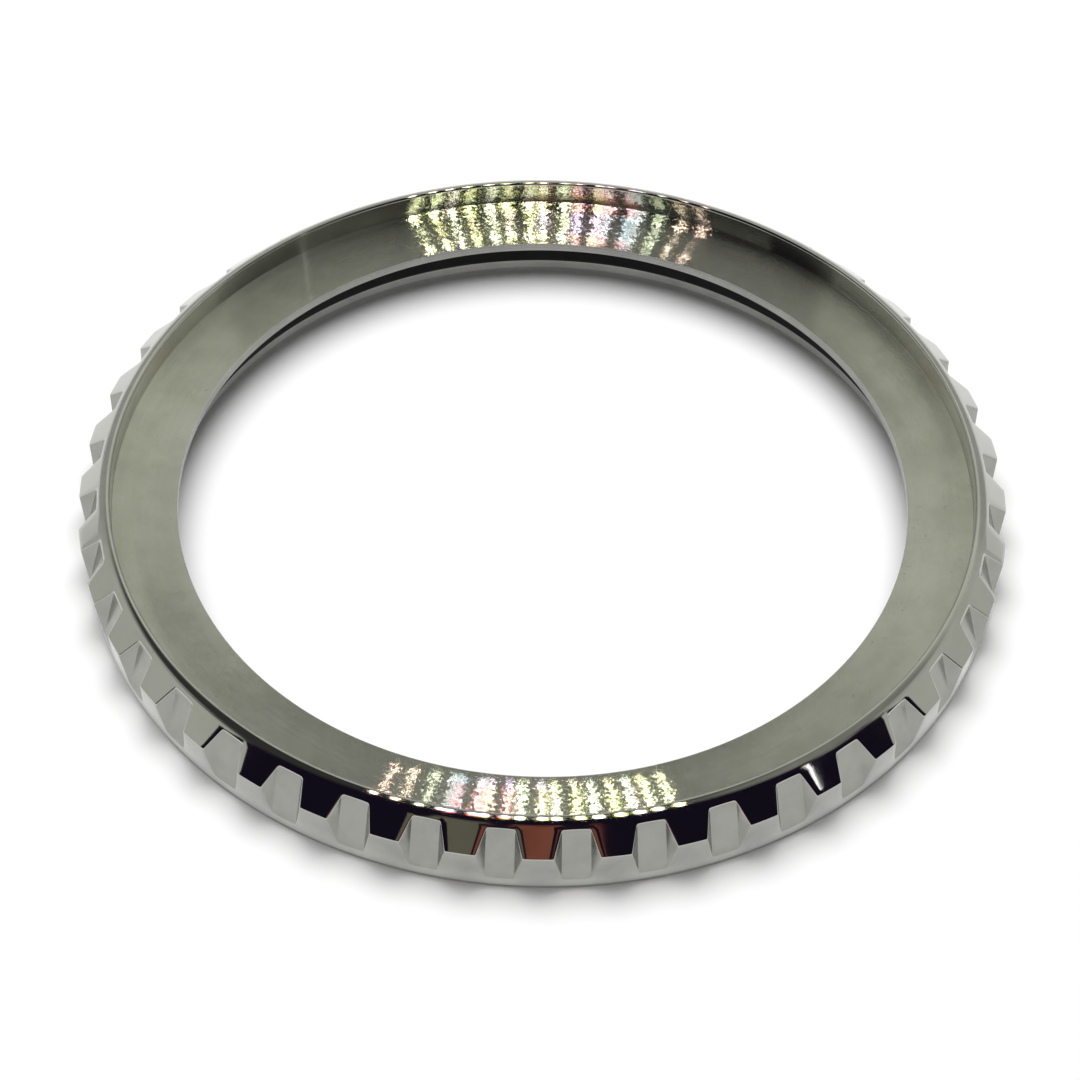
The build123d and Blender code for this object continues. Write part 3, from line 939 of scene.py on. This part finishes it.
# Camera, in the photograph's place: metres in front of the axis and above the foot, angles in
# degrees, and the lens as a distance in pixels of a picture of this width
CAMERA_DISTANCE = 0.117882
CAMERA_HEIGHT = 0.127497
CAMERA_PITCH = 47.409
CAMERA_YAW = -0.0448
CAMERA_ROLL = 1.0504
TOOTH_OFFSET = -0.25
PICTURE_WIDTH = 1080
FOCAL_PIXELS = 3880.54
SENSOR = 36.0


def camera():
    """A long lens that looks down at the ring from the front; the whole view is turned a little
    about the axis so that the front tooth lies where the photograph has it."""
    lens = bpy.data.cameras.new("camera")
    lens.sensor_width = SENSOR
    lens.lens = SENSOR * FOCAL_PIXELS / PICTURE_WIDTH
    lens.clip_start = 0.01
    lens.clip_end = 10.0
    pitch, yaw, roll = radians(CAMERA_PITCH), radians(CAMERA_YAW), radians(CAMERA_ROLL)
    ahead = Vector((sin(yaw) * cos(pitch), cos(yaw) * cos(pitch), -sin(pitch)))
    level = Vector((cos(yaw), -sin(yaw), 0))
    upright = level.cross(ahead)
    right = level * cos(roll) + upright * sin(roll)
    up = upright * cos(roll) - level * sin(roll)
    place = Matrix((right, up, -ahead)).transposed().to_4x4()
    place.translation = Vector((0, -CAMERA_DISTANCE, CAMERA_HEIGHT))
    viewer = bpy.data.objects.new("camera", lens)
    viewer.matrix_world = Matrix.Rotation(radians(TOOTH_OFFSET), 4, "Z") @ place
    bpy.context.scene.collection.objects.link(viewer)
    bpy.context.scene.camera = viewer


camera()

lathe_lines = lathe_lines_group()
handling = handling_group()
ring_materials = [
    polished_steel(handling),
    # The notches' satin is toned darker than the side wall's as painted shade; both are one satin finish.
    satin_steel("bezel_satin_notches_painted_shade", handling, light=(0.34, 0.345, 0.315), dull=(0.305, 0.31, 0.28)),
    turned_steel(
        "bezel_turned_seat", lathe_lines, handling, lean=0.5, lines=90000.0,
        light=(0.50, 0.505, 0.45), dull=(0.45, 0.455, 0.40), rough=0.07, waver=0.03, drawn=1.0,
    ),
    # The bore's turned steel is rougher than the seat's, and its tone is set darker as painted shade
    # inside the bore and groove.
    turned_steel(
        "bezel_turned_bore_painted_shade", lathe_lines, handling, lean=0.3, lines=30000.0,
        light=(0.32, 0.32, 0.30), dull=(0.27, 0.27, 0.255), rough=0.2, waver=0.01, drawn=0.7,
    ),
    turned_steel(
        "bezel_lapped_rim", lathe_lines, handling, lean=0.05, lines=90000.0,
        light=(0.50, 0.50, 0.47), dull=(0.45, 0.45, 0.42), rough=0.06, waver=0.004, drawn=1.0,
    ),
    # The recess wall's turned steel is toned lighter than the seat and rim as painted light.
    turned_steel(
        "bezel_recess_wall_painted_light", lathe_lines, handling, lean=0.06, lines=90000.0,
        light=(0.70, 0.71, 0.66), dull=(0.62, 0.63, 0.58), rough=0.05, waver=0.025, drawn=1.0,
    ),
    # The side wall's satin is toned lighter than the notches' as painted light.
    satin_steel("bezel_satin_side_wall_painted_light", handling, light=(0.385, 0.39, 0.36), dull=(0.345, 0.35, 0.325)),
]

ring = bezel_ring_surface(ring_materials)
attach(ring, "bezel")
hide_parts("bezel_ring")

gasket = gasket_surface(gasket_rubber())
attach(gasket, "bezel")
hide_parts("retaining_gasket")

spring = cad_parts["click_spring_ring"]
spring_finish = spring_steel(handling)
if spring.data.materials:
    for slot in spring.material_slots:
        slot.material = spring_finish
else:
    spring.data.materials.append(spring_finish)

white_table()
softbox()
studio_world()
bpy.context.scene.view_settings.view_transform = "Standard"
